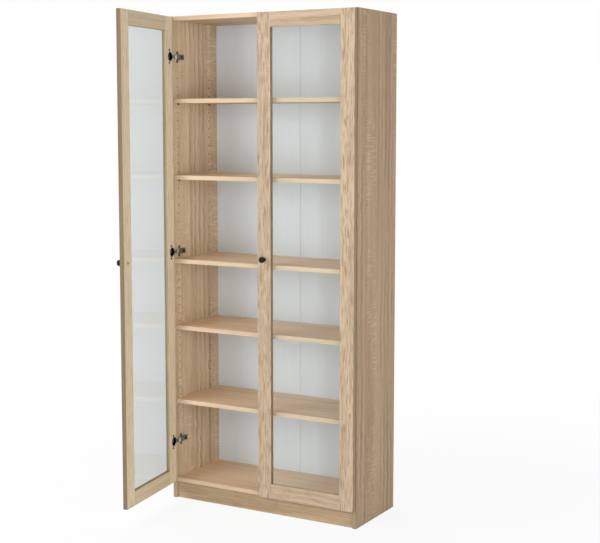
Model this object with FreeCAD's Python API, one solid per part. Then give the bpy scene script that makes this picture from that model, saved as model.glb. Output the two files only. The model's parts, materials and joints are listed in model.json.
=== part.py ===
import FreeCAD, Part
import math
import os

from FreeCAD import Vector

# Tall bookcase with two glazed doors, in millimetres.
# X runs along the width, Y from front to back, Z up. The origin is on the floor,
# midway along the plinth board and in the middle of its thickness.

# Case
CASE_WIDTH = 800.0
CASE_HEIGHT = 1850.0
CASE_DEPTH = 310.0
BOARD = 16.0
EDGE_ROUND = 0.8
PLINTH_HEIGHT = 65.0
PLINTH_SETBACK = 8.0
MIDDLE_SHELF_LOW = 920.0

# Back, two leaves in grooves of the side panels
BACK_THICK = 3.0
BACK_INSET = 8.0
BACK_GROOVE_DEPTH = 6.0
BACK_CLEARANCE = 0.2
BACK_TOP_DROP = 1.0
BACK_FOLD_GAP = 0.6
TAPE_WIDTH = 30.0
TAPE_THICK = 0.3
NAILS_PER_LEAF_ROW = 4
NAIL_END_INSET = 60.0
NAIL_RADIUS = 0.8
NAIL_LENGTH = 16.0
NAIL_HEAD_RADIUS = 2.5
NAIL_HEAD = 0.8

# Rows of holes in the side panels
HOLE_PITCH = 32.0
FIRST_HOLE = 20.0
HOLE_RADIUS = 2.5
HOLE_DEPTH = 11.5
FRONT_ROW_INSET = 30.0
REAR_ROW_INSET = 69.0
ROW_END_MARGIN = 210.0
ROW_BELOW_MIDDLE = 60.0

# Adjustable shelves and their supports
SHELF_END_GAP = 1.0
SHELF_FRONT_INSET = 3.0
SHELF_REAR_GAP = 2.0
UPPER_SHELF_SHARES = (0.65, 0.33)
LOWER_SHELF_SHARES = (0.685, 0.34)
SUPPORT_RADIUS = 3.5
SUPPORT_FLAT = 0.5
SUPPORT_REACH = 8.0
SUPPORT_ROUND = 1.0
PEG_LENGTH = 9.0

# Fittings that join the panels
FIT_CLEARANCE = 0.05
END_CLEARANCE = 0.5
FITTING_INSET = 45.0
DOWEL_STEP = 32.0
DOWEL_RADIUS = 4.0
DOWEL_LENGTH = 30.0
DOWEL_IN_SIDE = 11.0
PLINTH_DOWEL_SHARES = (0.3, 0.7)
CAM_RADIUS = 7.5
CAM_DEPTH = 12.5
CAM_INSET = 24.0
CAM_SLOT = 2.0
CAM_SLOT_DEPTH = 1.5
BOLT_THREAD = 10.0
BOLT_SHANK_RADIUS = 3.0
BOLT_HEAD_RADIUS = 3.4
BOLT_HEAD = 4.0
BOLT_CHANNEL_RADIUS = 3.8

# Doors
DOOR_OPEN_DEGREES = 81.0
DOOR_GAP = 3.0
DOOR_REVEAL = 2.0
MEETING_GAP = 3.0
DOOR_THICK = 18.0
STILE = 56.0
RAIL = 54.0
DOOR_EDGE_ROUND = 1.0
GLASS_THICK = 4.0
GLASS_GROOVE_DEPTH = 8.0
GLASS_CLEARANCE = 0.2
FRAME_DOWEL_INSET = 14.0
FRAME_DOWEL_STEP = 20.0
BUMPER_RADIUS = 5.0
BUMPER_CLEARANCE = 0.3

# Hinges
HINGE_END_INSET = 155.0
SWING_CLEARANCE = 0.4
PIVOT_DEPTH = 10.0
PIN_RADIUS = 1.25
PIN_RUNNING_CLEARANCE = 0.05
CUP_RADIUS = 17.5
CUP_DEPTH = 13.3
CUP_EDGE = 3.0
CUP_WALL = 0.6
CUP_RIM = 1.5
FLANGE = 1.0
EAR_RADIUS = 6.0
EAR_OFFSET = 6.0
EAR_SPACING = 48.0
CHEEK = 1.7
EYE_RADIUS = 2.4
EYE_WIDTH = 10.0
EYE_SIDE_CLEARANCE = 0.3
BAR = 2.2
NECK_OFFSET = 13.0
ARM_START = 12.0
ARM_END = 63.0
ARM_WIDTH = 20.0
ARM_SHEET = 1.5
ARM_ROUND = 2.0
ARM_SLOT_CLEARANCE = 0.4
PLATE = 2.0
PLATE_EAR_RADIUS = 6.5
RAIL_CLEARANCE = 0.5
RAIL_ROUND = 2.0

# Screws
SCREW_RADIUS = 1.6
SCREW_LENGTH = 11.0
SCREW_HEAD_RADIUS = 3.2
SCREW_HEAD = 0.9
SOCKET_RADIUS = 1.6
SOCKET_DEPTH = 0.5
PLATE_SCREW_HEAD_RADIUS = 4.2
PLATE_SCREW_HEAD = 1.5
PLATE_SCREW_LENGTH = 11.0
ARM_SCREW_BACK = 49.0
ARM_SCREW_RADIUS = 2.0
ARM_SCREW_HEAD_RADIUS = 4.4
ARM_SCREW_HEAD = 1.8

# Knobs
KNOB_RADIUS = 11.0
KNOB_LENGTH = 22.0
KNOB_HEAD = 9.0
KNOB_HEAD_ROUND = 2.5
KNOB_NECK_RADIUS = 5.0
KNOB_FOOT_RADIUS = 7.0
KNOB_FOOT = 2.0
KNOB_FLARE = 3.0
KNOB_SCREW_RADIUS = 2.0
KNOB_SCREW_REACH = 10.0
KNOB_SCREW_HEAD_RADIUS = 4.5
KNOB_SCREW_HEAD = 2.0

# Wall brackets
BRACKET_SPACING = 600.0
BRACKET_WIDTH = 20.0
BRACKET_THICK = 2.0
BRACKET_FOOT = 50.0
BRACKET_RISE = 19.0
BRACKET_HOLE_RADIUS = 2.75
BRACKET_HOLE_HEIGHT = 11.0
BRACKET_SCREW_INSET = 9.0
BRACKET_SCREW_STEP = 18.0
BRACKET_ROUND = 4.0

# How far a cutting shape runs past the face that it cuts
OVERRUN = 1.0

# Edges count as parallel to a direction above this share of a full dot product.
PARALLEL_SHARE = 0.999

# Planes and spans worked out from the sizes above
LEFT = -CASE_WIDTH / 2
LEFT_INNER = LEFT + BOARD
FRONT = -(PLINTH_SETBACK + BOARD / 2)
REAR = FRONT + CASE_DEPTH
BACK_REAR = REAR - BACK_INSET
BACK_FRONT = BACK_REAR - BACK_THICK
BACK_MID = (BACK_FRONT + BACK_REAR) / 2
TOP_LOW = CASE_HEIGHT - BOARD
BOTTOM_LOW = PLINTH_HEIGHT
BOTTOM_TOP = BOTTOM_LOW + BOARD
MIDDLE_TOP = MIDDLE_SHELF_LOW + BOARD
INNER_SPAN = (LEFT_INNER, -LEFT_INNER)
FIXED_PANEL_LOWS = (TOP_LOW, MIDDLE_SHELF_LOW, BOTTOM_LOW)
CAM_LINES = (FRONT + FITTING_INSET, BACK_FRONT - FITTING_INSET)
DOWEL_LINES = (CAM_LINES[0] + DOWEL_STEP, CAM_LINES[1] - DOWEL_STEP)

DOOR_EDGE = LEFT + DOOR_REVEAL
DOOR_MEETING = -MEETING_GAP / 2
DOOR_INNER = FRONT - DOOR_GAP
DOOR_OUTER = DOOR_INNER - DOOR_THICK
DOOR_MID = (DOOR_INNER + DOOR_OUTER) / 2
DOOR_LOW = PLINTH_HEIGHT + DOOR_REVEAL
DOOR_TOP = CASE_HEIGHT - DOOR_REVEAL
GROOVE_HALF = GLASS_THICK / 2 + GLASS_CLEARANCE
KNOB_X = DOOR_MEETING - STILE / 2
KNOB_Z = (DOOR_LOW + DOOR_TOP) / 2

# The pivot lies just far enough in from the door's edge for the edge to clear the side panel.
PIVOT_SWING = PIVOT_DEPTH + DOOR_GAP - SWING_CLEARANCE
PIVOT_X = DOOR_EDGE + math.sqrt(PIVOT_SWING ** 2 - PIVOT_DEPTH ** 2)
PIVOT_Y = DOOR_INNER - PIVOT_DEPTH
CUP_X = DOOR_EDGE + CUP_EDGE + CUP_RADIUS
EAR_X = CUP_X + EAR_OFFSET
EYE_HALF = EYE_WIDTH / 2
CHEEK_START = EYE_HALF + EYE_SIDE_CLEARANCE
PIN_HALF = CHEEK_START + CHEEK
ARM_TOP = PIVOT_X + NECK_OFFSET + BAR
ARM_FRONT, ARM_REAR = FRONT + ARM_START, FRONT + ARM_END
ARM_SCREW_Y = FRONT + ARM_SCREW_BACK
PLATE_TOP = LEFT_INNER + PLATE
INTO_SIDE = (-1, 0, 0)
BRACKET_X = -BRACKET_SPACING / 2


def hole_height(number):
    return FIRST_HOLE + number * HOLE_PITCH


def first_hole_above(height):
    return math.ceil((height - FIRST_HOLE) / HOLE_PITCH)


def last_hole_below(height):
    return math.floor((height - FIRST_HOLE) / HOLE_PITCH)


def nearest_hole(height):
    return round((height - FIRST_HOLE) / HOLE_PITCH)


def holes_between(low, high):
    return range(first_hole_above(low), last_hole_below(high) + 1)


# Each hinge plate is screwed into two neighbouring holes of the front row.
HINGE_HOLES = (
    last_hole_below(DOOR_TOP - HINGE_END_INSET),
    first_hole_above(MIDDLE_TOP + PLATE_EAR_RADIUS),
    last_hole_below(DOOR_LOW + HINGE_END_INSET),
)
HINGE_HEIGHTS = [hole_height(number) + HOLE_PITCH / 2 for number in HINGE_HOLES]
ROW_NUMBERS = [
    *holes_between(BOTTOM_TOP + ROW_END_MARGIN, MIDDLE_SHELF_LOW - ROW_BELOW_MIDDLE),
    *holes_between(MIDDLE_TOP + PLATE_EAR_RADIUS, TOP_LOW - ROW_END_MARGIN),
]
SUPPORT_HEIGHTS = [
    hole_height(nearest_hole(low + share * (high - low)))
    for low, high, shares in (
        (MIDDLE_TOP, TOP_LOW, UPPER_SHELF_SHARES),
        (BOTTOM_TOP, MIDDLE_SHELF_LOW, LOWER_SHELF_SHARES),
    )
    for share in shares
]
FRONT_ROW = FRONT + FRONT_ROW_INSET
REAR_ROW = REAR - REAR_ROW_INSET
SUPPORT_RISE = SUPPORT_RADIUS - SUPPORT_FLAT


def box(x, y, z):
    """A block between low and high values on each axis."""
    return Part.makeBox(x[1] - x[0], y[1] - y[0], z[1] - z[0], Vector(x[0], y[0], z[0]))


def span(middle, half):
    return (middle - half, middle + half)


def rounded(shape, radius, direction):
    """The shape with its straight edges along the direction rounded."""
    edges = [
        edge
        for edge in shape.Edges
        if isinstance(edge.Curve, Part.Line) and abs(edge.Curve.Direction.dot(direction)) > PARALLEL_SHARE
    ]
    return shape.makeFillet(radius, edges)


def board(x, y, z, direction, radius=EDGE_ROUND):
    return rounded(box(x, y, z), radius, direction)


def rod(radius, start, end):
    """A cylinder from one point to another."""
    start, end = Vector(*start), Vector(*end)
    return Part.makeCylinder(radius, (end - start).Length, start, end - start)


def mirrored(shape):
    return shape.mirror(Vector(), Vector(1, 0, 0))


def both_sides(shapes):
    return [*shapes, *map(mirrored, shapes)]


def save(name, *shapes):
    solid = shapes[0] if len(shapes) == 1 else Part.makeCompound(shapes)
    solid.exportStep("parts/" + name + ".step")


# Case panels


def panel_end_fixings(low):
    """Blind holes in the side panel for one fixed panel: cam bolts and dowels."""
    middle = low + BOARD / 2
    for y in CAM_LINES:
        yield rod(HOLE_RADIUS, (LEFT_INNER, y, middle), (LEFT_INNER - HOLE_DEPTH, y, middle))
    for y in DOWEL_LINES:
        yield dowel_hole((LEFT_INNER, y, middle), -1, DOWEL_IN_SIDE)


def dowel_hole(mouth, way, depth):
    """A dowel's hole along X, from its mouth."""
    x, y, z = mouth
    end = x + way * (depth + END_CLEARANCE)
    return rod(DOWEL_RADIUS + FIT_CLEARANCE, (x - way * OVERRUN, y, z), (end, y, z))


def side_panel():
    panel = board((LEFT, LEFT_INNER), (FRONT, REAR), (0, CASE_HEIGHT), Vector(0, 0, 1))
    groove = box(
        (LEFT_INNER - BACK_GROOVE_DEPTH, LEFT_INNER + OVERRUN),
        span(BACK_MID, BACK_THICK / 2 + BACK_CLEARANCE),
        (BOTTOM_LOW - BACK_CLEARANCE, CASE_HEIGHT + OVERRUN),
    )
    hinge_numbers = [number + step for number in HINGE_HOLES for step in (0, 1)]
    places = {(FRONT_ROW, number) for number in [*ROW_NUMBERS, *hinge_numbers]}
    places |= {(REAR_ROW, number) for number in ROW_NUMBERS}
    holes = [
        rod(HOLE_RADIUS, (LEFT_INNER, y, hole_height(n)), (LEFT_INNER - HOLE_DEPTH, y, hole_height(n)))
        for y, n in sorted(places)
    ]
    fixings = [hole for low in FIXED_PANEL_LOWS for hole in panel_end_fixings(low)]
    plinth_holes = [dowel_hole((LEFT_INNER, 0, z), -1, DOWEL_IN_SIDE) for z in plinth_dowel_heights()]
    return panel.cut([groove, *holes, *fixings, *plinth_holes])


def fixed_panel(low, cams_from_above):
    """Top, middle or bottom panel, bored at both ends and nailed at its rear edge."""
    panel = board(INNER_SPAN, (FRONT, BACK_FRONT), (low, low + BOARD), Vector(1, 0, 0))
    middle = low + BOARD / 2
    mouth, floor = cam_span(low, cams_from_above)
    bores = []
    for y in CAM_LINES:
        cam_x = LEFT_INNER + CAM_INSET
        bores.append(rod(CAM_RADIUS + FIT_CLEARANCE, (cam_x, y, mouth), (cam_x, y, floor)))
        bores.append(rod(BOLT_CHANNEL_RADIUS, (LEFT_INNER - OVERRUN, y, middle), (cam_x, y, middle)))
    for y in DOWEL_LINES:
        bores.append(dowel_hole((LEFT_INNER, y, middle), 1, DOWEL_LENGTH - DOWEL_IN_SIDE))
    nail_holes = [nail_shank(x, middle, FIT_CLEARANCE) for x in nail_places()]
    return panel.cut([*both_sides(bores), *nail_holes])


def cam_span(low, from_above):
    """Heights of a cam bore's mouth and floor."""
    if from_above:
        return low + BOARD, low + BOARD - CAM_DEPTH
    return low, low + CAM_DEPTH


def adjustable_shelf(support_height):
    low = support_height + SUPPORT_RISE
    return board(
        (LEFT_INNER + SHELF_END_GAP, -LEFT_INNER - SHELF_END_GAP),
        (FRONT + SHELF_FRONT_INSET, BACK_FRONT - SHELF_REAR_GAP),
        (low, low + BOARD),
        Vector(1, 0, 0),
    )


def plinth_dowel_heights():
    return [share * PLINTH_HEIGHT for share in PLINTH_DOWEL_SHARES]


def plinth():
    body = board(INNER_SPAN, span(0, BOARD / 2), (0, PLINTH_HEIGHT), Vector(1, 0, 0))
    depth = DOWEL_LENGTH - DOWEL_IN_SIDE
    return body.cut(both_sides([dowel_hole((LEFT_INNER, 0, z), 1, depth) for z in plinth_dowel_heights()]))


def back_leaf():
    leaf = box(
        (LEFT_INNER - BACK_GROOVE_DEPTH + END_CLEARANCE, -BACK_FOLD_GAP / 2),
        (BACK_FRONT, BACK_REAR),
        (BOTTOM_LOW, CASE_HEIGHT - BACK_TOP_DROP),
    )
    holes = [
        nail_shank(x, low + BOARD / 2, FIT_CLEARANCE) for low in FIXED_PANEL_LOWS for x in leaf_nail_places()
    ]
    return leaf.cut(holes)


def back_tape():
    return box(
        span(0, TAPE_WIDTH / 2),
        (BACK_REAR, BACK_REAR + TAPE_THICK),
        (BOTTOM_LOW, CASE_HEIGHT - BACK_TOP_DROP),
    )


# Fittings of the case


def leaf_nail_places():
    start, end = LEFT_INNER + NAIL_END_INSET, -NAIL_END_INSET
    return [start + (end - start) * i / (NAILS_PER_LEAF_ROW - 1) for i in range(NAILS_PER_LEAF_ROW)]


def nail_places():
    return [*leaf_nail_places(), *(-x for x in leaf_nail_places())]


def nail_shank(x, z, clearance=0):
    tip = BACK_REAR - NAIL_LENGTH - clearance
    return rod(NAIL_RADIUS + clearance, (x, BACK_REAR, z), (x, tip, z))


def back_nails():
    for low in FIXED_PANEL_LOWS:
        for x in nail_places():
            z = low + BOARD / 2
            head = rod(NAIL_HEAD_RADIUS, (x, BACK_REAR, z), (x, BACK_REAR + NAIL_HEAD, z))
            yield nail_shank(x, z).fuse(head)


def dowel(x0, y, z):
    return rod(DOWEL_RADIUS, (x0, y, z), (x0 + DOWEL_LENGTH, y, z))


def case_dowels():
    start = LEFT_INNER - DOWEL_IN_SIDE
    dowels = [dowel(start, y, low + BOARD / 2) for low in FIXED_PANEL_LOWS for y in DOWEL_LINES]
    dowels += [dowel(start, 0, z) for z in plinth_dowel_heights()]
    return both_sides(dowels)


def cam_bolt(y, z):
    thread = rod(HOLE_RADIUS - FIT_CLEARANCE, (LEFT_INNER - BOLT_THREAD, y, z), (LEFT_INNER, y, z))
    head_end = LEFT_INNER + CAM_INSET
    shank = rod(BOLT_SHANK_RADIUS, (LEFT_INNER, y, z), (head_end, y, z))
    head = rod(BOLT_HEAD_RADIUS, (head_end - BOLT_HEAD, y, z), (head_end, y, z))
    return thread.fuse([shank, head])


def cam_bolts():
    return both_sides([cam_bolt(y, low + BOARD / 2) for low in FIXED_PANEL_LOWS for y in CAM_LINES])


def cam_lock(y, low, from_above):
    """A round cam with a channel for the bolt's head and a slot for a screwdriver."""
    mouth, floor = cam_span(low, from_above)
    x, middle = LEFT_INNER + CAM_INSET, low + BOARD / 2
    inwards = 1 if floor > mouth else -1
    body = rod(CAM_RADIUS, (x, y, mouth), (x, y, floor))
    channel_end = x + BOLT_HEAD_RADIUS
    channel = rod(BOLT_CHANNEL_RADIUS, (x - CAM_RADIUS - OVERRUN, y, middle), (channel_end, y, middle))
    slot = box(
        span(x, CAM_RADIUS + OVERRUN),
        span(y, CAM_SLOT / 2),
        sorted((mouth - inwards * OVERRUN, mouth + inwards * CAM_SLOT_DEPTH)),
    )
    return body.cut([channel, slot])


def cam_locks():
    return both_sides([cam_lock(y, low, low == TOP_LOW) for low in FIXED_PANEL_LOWS for y in CAM_LINES])


def shelf_support(y, z):
    """A pin with a rounded tip and a flat that carries the shelf, and its peg in the side panel's hole."""
    tip = LEFT_INNER + SUPPORT_REACH
    pin = rod(SUPPORT_RADIUS, (LEFT_INNER, y, z), (tip, y, z))
    tip_edges = [edge for edge in pin.Edges if edge.Closed and edge.CenterOfMass.x > (LEFT_INNER + tip) / 2]
    flat = box(
        (LEFT_INNER - OVERRUN, tip + OVERRUN),
        span(y, SUPPORT_RADIUS + OVERRUN),
        (z + SUPPORT_RISE, z + SUPPORT_RADIUS + OVERRUN),
    )
    peg = rod(HOLE_RADIUS - FIT_CLEARANCE, (LEFT_INNER - PEG_LENGTH, y, z), (LEFT_INNER, y, z))
    return pin.makeFillet(SUPPORT_ROUND, tip_edges).cut(flat).fuse(peg)


def shelf_supports():
    return both_sides([shelf_support(y, z) for z in SUPPORT_HEIGHTS for y in (FRONT_ROW, REAR_ROW)])


def bracket_screw_places():
    rear = BACK_FRONT - BRACKET_SCREW_INSET
    return [(BRACKET_X, rear), (BRACKET_X, rear - BRACKET_SCREW_STEP)]


def wall_bracket():
    """A steel angle: one leg on the top panel, the other flush with the wall."""
    x = span(BRACKET_X, BRACKET_WIDTH / 2)
    foot_z = (CASE_HEIGHT, CASE_HEIGHT + BRACKET_THICK)
    riser_y = (REAR - BRACKET_THICK, REAR)
    foot = board(x, (REAR - BRACKET_FOOT, REAR + BRACKET_ROUND), foot_z, Vector(0, 0, 1), BRACKET_ROUND)
    riser_z = (CASE_HEIGHT - BRACKET_ROUND, CASE_HEIGHT + BRACKET_RISE)
    riser = board(x, riser_y, riser_z, Vector(0, 1, 0), BRACKET_ROUND)
    # The rounding at the bend is trimmed off, so only the free corners are round.
    angle = box(x, (REAR - BRACKET_FOOT, REAR), (CASE_HEIGHT, riser_z[1]))
    hole_z = CASE_HEIGHT + BRACKET_HOLE_HEIGHT
    wall_hole = rod(BRACKET_HOLE_RADIUS, (BRACKET_X, riser_y[0], hole_z), (BRACKET_X, riser_y[1], hole_z))
    top_holes = [
        rod(SCREW_RADIUS + FIT_CLEARANCE, (px, py, foot_z[0]), (px, py, foot_z[1]))
        for px, py in bracket_screw_places()
    ]
    return foot.fuse(riser).common(angle).cut([wall_hole, *top_holes]).removeSplitter()


def screw(place, direction, radius, length, head_radius, head):
    """A pan-head screw whose head's underside is at the place, pointing along the direction."""
    place, direction = Vector(*place), Vector(*direction)
    shank = Part.makeCylinder(radius, length, place, direction)
    cap = Part.makeCylinder(head_radius, head, place - direction * head, direction)
    socket = Part.makeCylinder(SOCKET_RADIUS, SOCKET_DEPTH, place - direction * head, direction)
    return shank.fuse(cap).cut(socket)


def bracket_screws():
    top = CASE_HEIGHT + BRACKET_THICK
    down = (0, 0, -1)
    return [
        screw((x, y, top), down, SCREW_RADIUS, SCREW_LENGTH, SCREW_HEAD_RADIUS, SCREW_HEAD)
        for x, y in bracket_screw_places()
    ]


def bracket_pilot_holes():
    reach = SCREW_LENGTH - BRACKET_THICK + END_CLEARANCE
    return [
        rod(SCREW_RADIUS + FIT_CLEARANCE, (x, y, CASE_HEIGHT + OVERRUN), (x, y, CASE_HEIGHT - reach))
        for x, y in bracket_screw_places()
    ]


# Door frame and glass, drawn as the left door when closed


def frame_dowel_heights(rail_outer, way):
    near = rail_outer + way * FRAME_DOWEL_INSET
    return (near, near + way * FRAME_DOWEL_STEP)


def all_frame_dowel_heights():
    return [*frame_dowel_heights(DOOR_TOP, -1), *frame_dowel_heights(DOOR_LOW, 1)]


def stile(x, inner_edge, way):
    """A stile whose inner edge, on the given way's side, is grooved for the glass and bored."""
    body = board(x, (DOOR_OUTER, DOOR_INNER), (DOOR_LOW, DOOR_TOP), Vector(0, 0, 1), DOOR_EDGE_ROUND)
    reach = RAIL - GLASS_GROOVE_DEPTH
    groove = box(
        sorted((inner_edge - way * GLASS_GROOVE_DEPTH, inner_edge + way * OVERRUN)),
        span(DOOR_MID, GROOVE_HALF),
        (DOOR_LOW + reach, DOOR_TOP - reach),
    )
    half = DOWEL_LENGTH / 2
    holes = [dowel_hole((inner_edge, DOOR_MID, z), -way, half) for z in all_frame_dowel_heights()]
    return body.cut([groove, *holes])


def hinge_stile():
    body = stile((DOOR_EDGE, DOOR_EDGE + STILE), DOOR_EDGE + STILE, 1)
    bores = []
    for z in HINGE_HEIGHTS:
        depth = CUP_DEPTH + FIT_CLEARANCE
        bores.append(rod(CUP_RADIUS, (CUP_X, DOOR_INNER + OVERRUN, z), (CUP_X, DOOR_INNER - depth, z)))
        for ear_z in span(z, EAR_SPACING / 2):
            tip = DOOR_INNER - SCREW_LENGTH
            bores.append(rod(SCREW_RADIUS + FIT_CLEARANCE, (EAR_X, DOOR_INNER, ear_z), (EAR_X, tip, ear_z)))
    return body.cut(bores)


def meeting_stile():
    body = stile((DOOR_MEETING - STILE, DOOR_MEETING), DOOR_MEETING - STILE, -1)
    through = rod(
        KNOB_SCREW_RADIUS + FIT_CLEARANCE,
        (KNOB_X, DOOR_INNER + OVERRUN, KNOB_Z),
        (KNOB_X, DOOR_OUTER - OVERRUN, KNOB_Z),
    )
    return body.cut(through)


def rail(outer, way):
    """A rail that runs from its outer edge by the rail's height in the given way."""
    inner = outer + way * RAIL
    x = (DOOR_EDGE + STILE, DOOR_MEETING - STILE)
    body = board(x, (DOOR_OUTER, DOOR_INNER), sorted((outer, inner)), Vector(1, 0, 0), DOOR_EDGE_ROUND)
    groove = box(
        (x[0] - OVERRUN, x[1] + OVERRUN),
        span(DOOR_MID, GROOVE_HALF),
        sorted((inner - way * GLASS_GROOVE_DEPTH, inner + way * OVERRUN)),
    )
    holes = []
    for z in frame_dowel_heights(outer, way):
        holes.append(dowel_hole((x[0], DOOR_MID, z), 1, DOWEL_LENGTH / 2))
        holes.append(dowel_hole((x[1], DOOR_MID, z), -1, DOWEL_LENGTH / 2))
    return body.cut([groove, *holes])


def glass_pane():
    inset_x = STILE - GLASS_GROOVE_DEPTH + END_CLEARANCE
    inset_z = RAIL - GLASS_GROOVE_DEPTH
    return box(
        (DOOR_EDGE + inset_x, DOOR_MEETING - inset_x),
        span(DOOR_MID, GLASS_THICK / 2),
        (DOOR_LOW + inset_z, DOOR_TOP - inset_z - END_CLEARANCE),
    )


def frame_dowels():
    starts = (DOOR_EDGE + STILE - DOWEL_LENGTH / 2, DOOR_MEETING - STILE - DOWEL_LENGTH / 2)
    return [dowel(start, DOOR_MID, z) for start in starts for z in all_frame_dowel_heights()]


def bumper_pads():
    x, thick = KNOB_X, DOOR_GAP - BUMPER_CLEARANCE
    heights = (TOP_LOW + BOARD / 2, BOTTOM_LOW + BOARD / 2)
    return [rod(BUMPER_RADIUS, (x, DOOR_INNER, z), (x, DOOR_INNER + thick, z)) for z in heights]


def knob():
    """A turned knob: foot, neck and a flat-faced head with a rounded rim."""
    head_back = KNOB_LENGTH - KNOB_HEAD
    face_radius = KNOB_RADIUS - KNOB_HEAD_ROUND
    rim_start = KNOB_LENGTH - KNOB_HEAD_ROUND
    round_share = math.sqrt(0.5)
    rim_middle = (face_radius + KNOB_HEAD_ROUND * round_share, rim_start + KNOB_HEAD_ROUND * round_share)

    def point(radius, out):
        return Vector(KNOB_X + radius, DOOR_OUTER - out, KNOB_Z)

    turned = [
        point(0, KNOB_LENGTH),
        point(0, 0),
        point(KNOB_FOOT_RADIUS, 0),
        point(KNOB_FOOT_RADIUS, KNOB_FOOT),
        point(KNOB_NECK_RADIUS, KNOB_FOOT),
        point(KNOB_NECK_RADIUS, head_back - KNOB_FLARE),
        point(KNOB_RADIUS, head_back),
        point(KNOB_RADIUS, rim_start),
    ]
    edges = [Part.makeLine(a, b) for a, b in zip(turned, turned[1:])]
    face_edge = point(face_radius, KNOB_LENGTH)
    edges.append(Part.Arc(turned[-1], point(*rim_middle), face_edge).toShape())
    edges.append(Part.makeLine(face_edge, turned[0]))
    body = Part.Face(Part.Wire(edges)).revolve(point(0, 0), Vector(0, 1, 0), 360)
    tip = DOOR_OUTER - KNOB_SCREW_REACH - END_CLEARANCE
    return body.cut(rod(KNOB_SCREW_RADIUS, (KNOB_X, DOOR_OUTER, KNOB_Z), (KNOB_X, tip, KNOB_Z)))


def knob_screw():
    return screw(
        (KNOB_X, DOOR_INNER, KNOB_Z),
        (0, -1, 0),
        KNOB_SCREW_RADIUS - FIT_CLEARANCE,
        DOOR_THICK + KNOB_SCREW_REACH,
        KNOB_SCREW_HEAD_RADIUS,
        KNOB_SCREW_HEAD,
    )


# Hinges, drawn for the left door when closed


def hinge_cup(z):
    """A pressed cup with a screwed flange and two cheeks that hold the pin."""
    mouth, floor = DOOR_INNER, DOOR_INNER - CUP_DEPTH
    outside = rod(CUP_RADIUS - FIT_CLEARANCE, (CUP_X, mouth, z), (CUP_X, floor, z))
    inside = rod(CUP_RADIUS - CUP_WALL, (CUP_X, mouth + FLANGE + OVERRUN, z), (CUP_X, floor + CUP_WALL, z))
    flange_y = (mouth, mouth + FLANGE)
    rim = rod(CUP_RADIUS + CUP_RIM, (CUP_X, mouth, z), (CUP_X, mouth + FLANGE, z))
    ear_heights = span(z, EAR_SPACING / 2)
    strap = box(span(EAR_X, EAR_RADIUS), flange_y, ear_heights)
    ears = [rod(EAR_RADIUS, (EAR_X, mouth, ear_z), (EAR_X, mouth + FLANGE, ear_z)) for ear_z in ear_heights]
    cheeks = [
        box((DOOR_EDGE, PIVOT_X + EYE_RADIUS), (floor, PIVOT_Y + EYE_RADIUS), heights).common(outside)
        for heights in ((z - PIN_HALF, z - CHEEK_START), (z + CHEEK_START, z + PIN_HALF))
    ]
    pin_hole = pivot_rod(PIN_RADIUS + PIN_RUNNING_CLEARANCE, z, PIN_HALF)
    screw_holes = [
        rod(SCREW_RADIUS + FIT_CLEARANCE, (EAR_X, mouth, ear_z), (EAR_X, mouth + FLANGE, ear_z))
        for ear_z in ear_heights
    ]
    shell = outside.fuse([rim, strap, *ears]).cut([inside, *screw_holes])
    return shell.fuse(cheeks).cut(pin_hole).removeSplitter()


def pivot_rod(radius, z, half):
    """A cylinder on the pivot's axis, by its half length each way from a height."""
    return rod(radius, (PIVOT_X, PIVOT_Y, z - half), (PIVOT_X, PIVOT_Y, z + half))


def hinge_pin(z):
    return pivot_rod(PIN_RADIUS, z, PIN_HALF)


def cup_screws():
    into_door = (0, -1, 0)
    seat = DOOR_INNER + FLANGE
    return [
        screw((EAR_X, seat, ear_z), into_door, SCREW_RADIUS, SCREW_LENGTH, SCREW_HEAD_RADIUS, SCREW_HEAD)
        for z in HINGE_HEIGHTS
        for ear_z in span(z, EAR_SPACING / 2)
    ]


def hinge_arm(z):
    """An eye on the pin, a crank out of the cup, and a folded channel that stands on the mounting plate."""
    eye_z = span(z, EYE_HALF)
    eye = pivot_rod(EYE_RADIUS, z, EYE_HALF)
    bar = box((PIVOT_X, ARM_TOP), span(PIVOT_Y, BAR / 2), eye_z)
    neck = box((ARM_TOP - BAR, ARM_TOP), (PIVOT_Y, ARM_FRONT + ARM_SHEET), eye_z)
    bore = pivot_rod(PIN_RADIUS + PIN_RUNNING_CLEARANCE, z, EYE_HALF)
    return eye.fuse([bar, neck, arm_channel(z)]).cut(bore).removeSplitter()


def arm_channel(z):
    """A channel with a closed front, open to the plate and at its rear, slotted for the arm screw."""
    # A tube rounded all round gives the channel its two round edges when it is cut along its middle.
    tube_low = 2 * PLATE_TOP - ARM_TOP
    tube = board((tube_low, ARM_TOP), (ARM_FRONT, ARM_REAR), span(z, ARM_WIDTH / 2), Vector(0, 1, 0), ARM_ROUND)
    lower_half = box((tube_low, PLATE_TOP), (ARM_FRONT, ARM_REAR), span(z, ARM_WIDTH / 2))
    hollow = box(
        (PLATE_TOP - OVERRUN, ARM_TOP - ARM_SHEET),
        (ARM_FRONT + ARM_SHEET, ARM_REAR + OVERRUN),
        span(z, ARM_WIDTH / 2 - ARM_SHEET),
    )
    slot_half = ARM_SCREW_RADIUS + ARM_SLOT_CLEARANCE
    slot_x = (PLATE_TOP, ARM_TOP + OVERRUN)
    slot = box(slot_x, (ARM_SCREW_Y, ARM_REAR + OVERRUN), span(z, slot_half))
    slot_end = rod(slot_half, (slot_x[0], ARM_SCREW_Y, z), (slot_x[1], ARM_SCREW_Y, z))
    return tube.cut([lower_half, hollow, slot, slot_end])


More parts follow.
